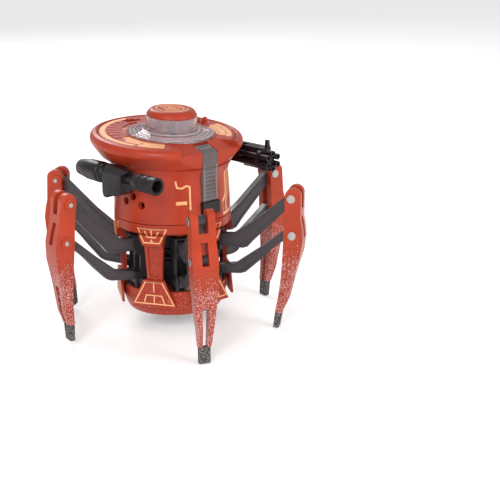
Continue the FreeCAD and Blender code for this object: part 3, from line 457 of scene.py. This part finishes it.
def stepped(points, step):
    """The same run with points no further apart than a step."""
    run = [Vector(points[0])]
    for point in points[1:]:
        start = run[-1].copy()
        goal = Vector(point)
        parts = max(1, math.ceil((goal - start).length / step))
        run.extend(start.lerp(goal, part / parts) for part in range(1, parts + 1))
    return run


def sideways(run, index):
    """Mitre direction at one point of a run, longer where the run turns."""
    sharpest = 0.6
    before = run[index] - run[max(index - 1, 0)]
    after = run[min(index + 1, len(run) - 1)] - run[index]
    first = before.normalized() if before.length else after.normalized()
    second = after.normalized() if after.length else first
    middle = (first + second).normalized()
    normal = Vector((-middle.y, middle.x))
    square = Vector((-first.y, first.x))
    return normal / max(sharpest, normal.dot(square))


def lay_strip(skin, surface, spot, points, width, lift):
    """One thin strip that follows a surface: a top, two sides, two ends and an underside."""
    run = stepped(points, STEP)
    lanes = max(1, math.ceil(width / LANE))
    rows = []
    for index, point in enumerate(run):
        across = sideways(run, index)
        row = []
        for lane in range(-1, lanes + 2):
            inside = min(max(lane, 0), lanes)
            place = point + across * (width * (inside / lanes - 0.5))
            start, heading = spot(place.x, place.y)
            hit = surface.land(start, heading)
            if hit is None:
                row = None
                break
            height = -SINK if lane in (-1, lanes + 1) else lift
            row.append(skin.verts.new(hit - heading * height * MM))
        rows.append(row)
    for above, below in zip(rows, rows[1:]):
        if above and below:
            for left in range(len(above) - 1):
                skin.faces.new((above[left], above[left + 1], below[left + 1], below[left]))
            skin.faces.new((above[-1], above[0], below[0], below[-1]))
    for end in (rows[0], rows[-1]):
        if end:
            skin.faces.new(end)


def printed(name, body, surface, spot, strips, material=PRINT, slot=None, lift=INK):
    """One piece made of strips, each a run of points and a width in mm."""
    skin = bmesh.new()
    for points, width in strips:
        lay_strip(skin, surface, spot, points, width, lift)
    bmesh.ops.recalc_face_normals(skin, faces=skin.faces)
    mesh = bpy.data.meshes.new(name)
    skin.to_mesh(mesh)
    skin.free()
    return own(new_piece(name, mesh), body, material, slot)


def polar(radius, angle, middle):
    return middle[0] + radius * math.cos(angle), middle[1] + radius * math.sin(angle)


def arc(radius, start, end, middle):
    """Points about every 4 degrees on an arc from one angle to another, in degrees."""
    count = max(2, math.ceil(abs(end - start) / 4.0))
    angles = [math.radians(start + (end - start) * part / count) for part in range(count + 1)]
    return [polar(radius, angle, middle) for angle in angles]


def closed(points):
    """A run back to its start, with its first side drawn again so that the corner is mitred."""
    return [*points, points[0], points[1]]


def drum_prints():
    """A stepped line and a bar on one side of the visor, a panel and a hook on the other."""
    surface = Surface("head_drum")
    stair = [
        (-16.0, 70.6), (-15.4, 67.7), (-13.2, 67.4),
        (-11.2, 68.4), (-9.7, 67.9), (-9.7, 54.0),
    ]
    bar = [(-16.0, 61.0), (-11.2, 61.0)]
    panel = closed([
        (9.4, 53.0), (9.0, 58.6), (11.4, 60.6), (12.4, 63.4), (12.2, 70.4),
        (15.6, 71.6), (18.4, 70.6), (18.6, 60.2), (17.6, 53.4),
    ])
    inner = [(12.2, 54.0), (12.0, 58.4), (14.2, 60.8), (15.0, 64.6), (15.2, 69.8)]
    hook = [(26.0, 66.4), (24.0, 66.4), (22.6, 64.2), (22.6, 55.0)]
    strips = [(stair, 0.75), (bar, 1.5), (panel, 1.2), (inner, 1.1), (hook, 0.7)]
    printed("drum_prints", "head", surface, round_drum, strips)


def lid_prints():
    """Arc band, stepped patches and a wing on the lid, set out from the brim's middle."""
    surface = Surface("top_plate", "saucer_rim")
    crossing = [(-3.2, 25.4), (-9.4, 22.2), (-13.4, 17.4), (-12.2, 15.8)]
    band_and_patches = [
        (arc(28.2, 92, 202, BRIM_MIDDLE), 2.2),
        (arc(21.4, 203, 228, BRIM_MIDDLE), 1.4),
        (arc(27.0, 205, 229, BRIM_MIDDLE), 2.9),
        (arc(23.8, 206, 229, BRIM_MIDDLE), 2.7),
        (crossing, 1.0),
        (arc(20.7, 132, 204, BRIM_MIDDLE), 1.4),
        (arc(22.5, 168, 204, BRIM_MIDDLE), 1.6),
        (arc(24.7, 186, 204, BRIM_MIDDLE), 2.0),
    ]
    wing = [
        (arc(27.4, -50, -3, BRIM_MIDDLE), 2.3),
        (arc(24.5, -47, -4, BRIM_MIDDLE), 2.9),
        (arc(21.6, -44, -7, BRIM_MIDDLE), 2.3),
    ]
    printed("lid_prints", "head", surface, from_above, band_and_patches + wing)


def lid_relief():
    """Raised boards between grooves in a fan, and the low ring round the sensor dish."""
    surface = Surface("top_plate")
    near, far = 19.9, 26.4
    first, apart, count = 98, 10.4, 8
    boards = []
    for index in range(count):
        angle = math.radians(first + apart * index)
        board = [polar(near, angle, BRIM_MIDDLE), polar(far, angle, BRIM_MIDDLE)]
        boards.append((board, 3.4))
    printed("lid_boards", "head", surface, from_above, boards, RED_PLASTIC, "body_red", 0.3)
    ring = [(arc(19.5, -128, 230, DISH_MIDDLE), 0.7)]
    printed("dish_seat", "head", surface, from_above, ring, RED_PLASTIC, "body_red", 0.35)


def cap_prints():
    """A plain swirl of open rings with one wavy line across."""
    surface = Surface("turret_cap")
    wave = [(-3.4, -1.6), (-1.2, -1.2), (1.4, -2.4), (4.8, -2.2)]
    strips = [
        (arc(6.9, 20, 320, CAP_MIDDLE), 0.55),
        (arc(5.3, 200, 480, CAP_MIDDLE), 0.5),
        (arc(3.4, 40, 300, CAP_MIDDLE), 0.5),
        (wave, 0.6),
        (arc(1.6, 0, 300, CAP_MIDDLE), 0.45),
    ]
    printed("cap_prints", "head", surface, from_above, strips)


def waist_prints():
    """Line figures on the six upper panels and the six lower shields."""
    surface = Surface("waist_pillars", "deck_ring", "base_bowl")
    outline, line = 0.55, 0.5
    panel = [
        (closed([(-6.3, 49.6), (6.6, 49.6), (3.6, 43.5), (-3.6, 43.5)]), outline),
        ([(-3.2, 48.7), (-1.8, 46.0), (1.8, 46.0), (3.2, 48.7)], line),
        ([(0.0, 49.4), (0.0, 46.1)], line),
        ([(-0.6, 43.6), (0.0, 44.9), (0.6, 43.6)], line),
    ]
    shield = [
        (closed([(-3.9, 25.3), (3.9, 25.3), (9.2, 15.5), (-9.2, 15.5)]), outline),
        ([(-4.6, 15.9), (-3.6, 19.4), (3.6, 19.4), (4.8, 15.9)], line),
        ([(0.0, 25.2), (0.0, 20.8)], line),
        ([(0.0, 19.3), (0.0, 15.7)], line),
    ]
    for index in range(6):
        spot = facing_pillar(math.radians(30 + 60 * index))
        printed(f"waist_prints_{index}", "base", surface, spot, panel + shield)


def visor_ribs():
    """A bead along both edges of the light guide and fine ribs across it, in a lighter smoke
    that is partly their own tone and partly a painted highlight along the edges.
    """
    surface = Surface("visor_light_guide")
    low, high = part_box("visor_light_guide")
    bead, rib, raised = 0.7, 0.3, 0.12
    inset, gap, pitch, rows = 0.9, 0.5, 1.7, 9
    foot, top = 60.0, 76.5
    half = (high[0] - low[0]) / MM / 2 - inset
    strips = [([(-half, foot), (-half, top)], bead), ([(half, foot), (half, top)], bead)]
    for row in range(rows):
        level = foot + pitch * row
        strips.append(([(gap - half, level), (half - gap, level)], rib))
    printed("visor_ribs", "head", surface, round_drum, strips, VISOR_RIB_AND_HIGHLIGHT, "clear_smoke", raised)
    front, back = low[1] / MM + 3.0, -20.5
    strips = [
        ([(-half, front), (-half, back)], bead),
        ([(half, front), (half, back)], bead),
        ([(-half, front + 0.4), (half, front + 0.4)], bead),
    ]
    printed("visor_crown", "head", surface, from_above, strips, VISOR_RIB_AND_HIGHLIGHT, "clear_smoke", raised)


def dish_ridges():
    """Concentric ridges moulded in the clear dish and round the foot of the turret."""
    surface = Surface("sensor_turret")
    radii = (12.6, 14.4, 16.2, 17.9)
    rings = [(arc(radius, 0, 360, DISH_MIDDLE), 0.45) for radius in radii]
    printed("dish_ridges", "head", surface, from_above, rings, RIDGE, "clear_smoke", 0.22)


def turned(name, profile, place, out):
    """A small turned part: radius and height pairs in mm, standing on a place."""
    segments = 24
    skin = bmesh.new()
    upright = out.to_track_quat("Z", "Y").to_matrix().to_4x4()
    for turn in range(segments):
        for step in range(len(profile) - 1):
            corners = []
            for more, up in ((0, 0), (1, 0), (1, 1), (0, 1)):
                radius, height = profile[step + up]
                angle = math.tau * ((turn + more) % segments) / segments
                x, y = polar(radius, angle, (0.0, 0.0))
                corners.append(skin.verts.new(place + upright @ (Vector((x, y, height)) * MM)))
            skin.faces.new(corners)
    bmesh.ops.remove_doubles(skin, verts=skin.verts, dist=FINE_WELD)
    bmesh.ops.recalc_face_normals(skin, faces=skin.faces)
    mesh = bpy.data.meshes.new(name)
    skin.to_mesh(mesh)
    skin.free()
    mesh.shade_smooth()
    return new_piece(name, mesh)


def corners_of(node):
    return [vertex.co.copy() for vertex in frame["nodes"][node].data.vertices]


def knee_pins(leg):
    """The middles of a leg's upper and lower knee pin."""
    points = corners_of(f"knee_pins_{leg}")
    level = sum(point.z for point in points) / len(points)
    high = [point for point in points if point.z > level]
    low = [point for point in points if point.z <= level]
    return {"high": sum(high, Vector()) / len(high), "low": sum(low, Vector()) / len(low)}


def pin_ends():
    """The riveted end of each knee pin, on the side away from its head."""
    rivet = [
        (1.0, -0.3), (1.0, 0.04), (0.9, 0.14), (0.6, 0.16),
        (0.5, 0.08), (0.36, 0.24), (0.16, 0.32), (0.0, 0.34),
    ]
    for joint in JOINTS:
        if not joint["child"].startswith("shin_"):
            continue
        leg = joint["child"].removeprefix("shin_")
        out = -Vector(joint["axis"]).normalized()
        face = max(point @ out for point in corners_of(f"shin_{leg}"))
        for part, middle in knee_pins(leg).items():
            place = middle + out * (face - middle @ out)
            piece = turned(f"pin_end_{part}_{leg}", rivet, place, out)
            own(piece, f"shin_{leg}", STEEL, "pin_steel")


# The two beads on each arm, in mm from its hinge, drawn with its knee pin at the arm's slope
ARM_BEADS = {
    "upper": (
        [(7.5, 1.7), (10.8, 1.9), (19.4, 7.6), (30.0, 16.6)],
        [(7.5, -1.9), (15.0, -2.3), (16.9, -1.6), (19.4, 1.6), (29.6, 11.8)],
    ),
    "lower": (
        [(7.5, 3.9), (11.0, 4.5), (21.8, 12.3), (29.6, 18.4)],
        [(7.5, 1.5), (13.4, 2.0), (15.4, 2.8), (21.2, 8.3), (28.4, 14.6)],
    ),
}
ARM_SLOPE = math.atan2(21.0, 37.0)
KNEE_OF = {"upper": "high", "lower": "low"}
BESIDE_ARM = 0.01


def beside(hinge, pin, out):
    """Out and up on one side of an arm, turned to where its knee pin is."""
    run = pin - hinge
    run -= out * (run @ out)
    ahead = Vector((run.x, run.y, 0.0)).normalized()
    turn = math.atan2(run.z, math.hypot(run.x, run.y)) - ARM_SLOPE

    def spot(u, v):
        across = (u * math.cos(turn) - v * math.sin(turn)) * MM
        rise = (u * math.sin(turn) + v * math.cos(turn)) * MM
        return hinge + ahead * across + Vector((0, 0, rise)) + out * BESIDE_ARM, -out

    return spot


def arm_beads():
    """A raised bead along both edges of each side of every arm."""
    width, raised = 0.6, 0.28
    for arm, beads in ARM_BEADS.items():
        strips = [(bead, width) for bead in beads]
        for joint in JOINTS:
            child = joint["child"]
            if not child.startswith(f"{arm}_"):
                continue
            leg = child.removeprefix(f"{arm}_")
            hinge = Vector(joint["pos_m"])
            pin = knee_pins(leg)[KNEE_OF[arm]]
            surface = Surface(f"{arm}_arm_{leg}")
            for side, sign in (("a", 1.0), ("b", -1.0)):
                out = Vector(joint["axis"]).normalized() * sign
                name = f"{arm}_beads_{side}_{leg}"
                spot = beside(hinge, pin, out)
                printed(name, child, surface, spot, strips, ARM_PLASTIC, "arm_grey", raised)


def lid_fin():
    """The knob-headed fin on the robot's left of the dish."""
    profile = [
        (1.7, -0.8), (1.6, 0.5), (1.1, 1.1), (0.95, 1.5), (1.35, 2.1),
        (1.4, 2.6), (1.0, 3.3), (0.4, 3.8), (0.0, 3.9),
    ]
    place = Surface("top_plate").land(*from_above(20.6, 0.4))
    upright = Vector((0, 0.08, 1)).normalized()
    piece = turned("lid_fin", profile, place, upright)
    own(piece, "head", RED_PLASTIC, "body_red")


drum_prints()
visor_ribs()
arm_beads()
lid_fin()
dish_ridges()
pin_ends()
lid_prints()
lid_relief()
cap_prints()
waist_prints()


# ---------------------------------------------------------------- stage

FLOOR_HALF = 14.0
FLOOR_GLOW = 0.22
ROOM_GLOW = 0.6
LAMP_SIZE = 0.5
CAMERA_PLACE = (-0.3004, -0.3750, 0.1802)
CAMERA_FORWARD = (0.6495, 0.7008, -0.2947)
CAMERA_ROLL = math.radians(0.48)
LENS = 79.6
SENSOR = 36.0

def area_light(name, place, aim, power):
    """A soft round lamp, so many watts, that looks at a point."""
    lamp = bpy.data.lights.new(name, "AREA")
    lamp.shape = "DISK"
    lamp.size = LAMP_SIZE
    lamp.energy = power
    light = bpy.data.objects.new(name, lamp)
    light.location = place
    light.rotation_euler = (Vector(aim) - Vector(place)).to_track_quat("-Z", "Y").to_euler()
    bpy.context.scene.collection.objects.link(light)


def studio():
    """A wide pale floor, an even room and three lamps."""
    sheet = bmesh.new()
    bmesh.ops.create_grid(sheet, x_segments=1, y_segments=1, size=FLOOR_HALF)
    mesh = bpy.data.meshes.new("floor")
    sheet.to_mesh(mesh)
    sheet.free()
    floor = new_piece("floor", mesh)
    look = Look("pale_floor", 0.85)
    look.colour(look.mix(look.noise(FLOOR_BLOTCHES), FLOOR_PALE, FLOOR_PALER))
    look.shader.inputs["Emission Color"].default_value = WHITE
    look.shader.inputs["Emission Strength"].default_value = FLOOR_GLOW
    mesh.materials.append(look.material)
    world = bpy.data.worlds.new("soft_room")
    bpy.context.scene.world = world
    world.use_nodes = True
    sky = world.node_tree.nodes["Background"]
    sky.inputs["Color"].default_value = WHITE
    sky.inputs["Strength"].default_value = ROOM_GLOW
    area_light("key", (-0.75, -0.55, 0.55), (0, 0, 0.05), 5.8)
    area_light("fill", (0.25, -0.9, 0.45), (0, 0, 0.05), 3.2)
    area_light("back", (0.3, 0.8, 0.7), (0, 0, 0.06), 4.2)
    bpy.context.scene.view_settings.view_transform = "Standard"


def photo_camera():
    """Three-quarter front view from a little above, half a metre away."""
    forward = Vector(CAMERA_FORWARD).normalized()
    side = forward.cross(Vector((0, 0, 1))).normalized()
    above = side.cross(forward)
    roll = Matrix.Rotation(CAMERA_ROLL, 3, forward)
    lens = bpy.data.cameras.new("camera")
    lens.lens = LENS
    lens.sensor_width = SENSOR
    lens.clip_start = 0.01
    camera = bpy.data.objects.new("camera", lens)
    turn = roll @ Matrix((side, above, -forward)).transposed()
    camera.matrix_world = Matrix.Translation(CAMERA_PLACE) @ turn.to_4x4()
    bpy.context.scene.collection.objects.link(camera)
    bpy.context.scene.camera = camera


studio()
photo_camera()
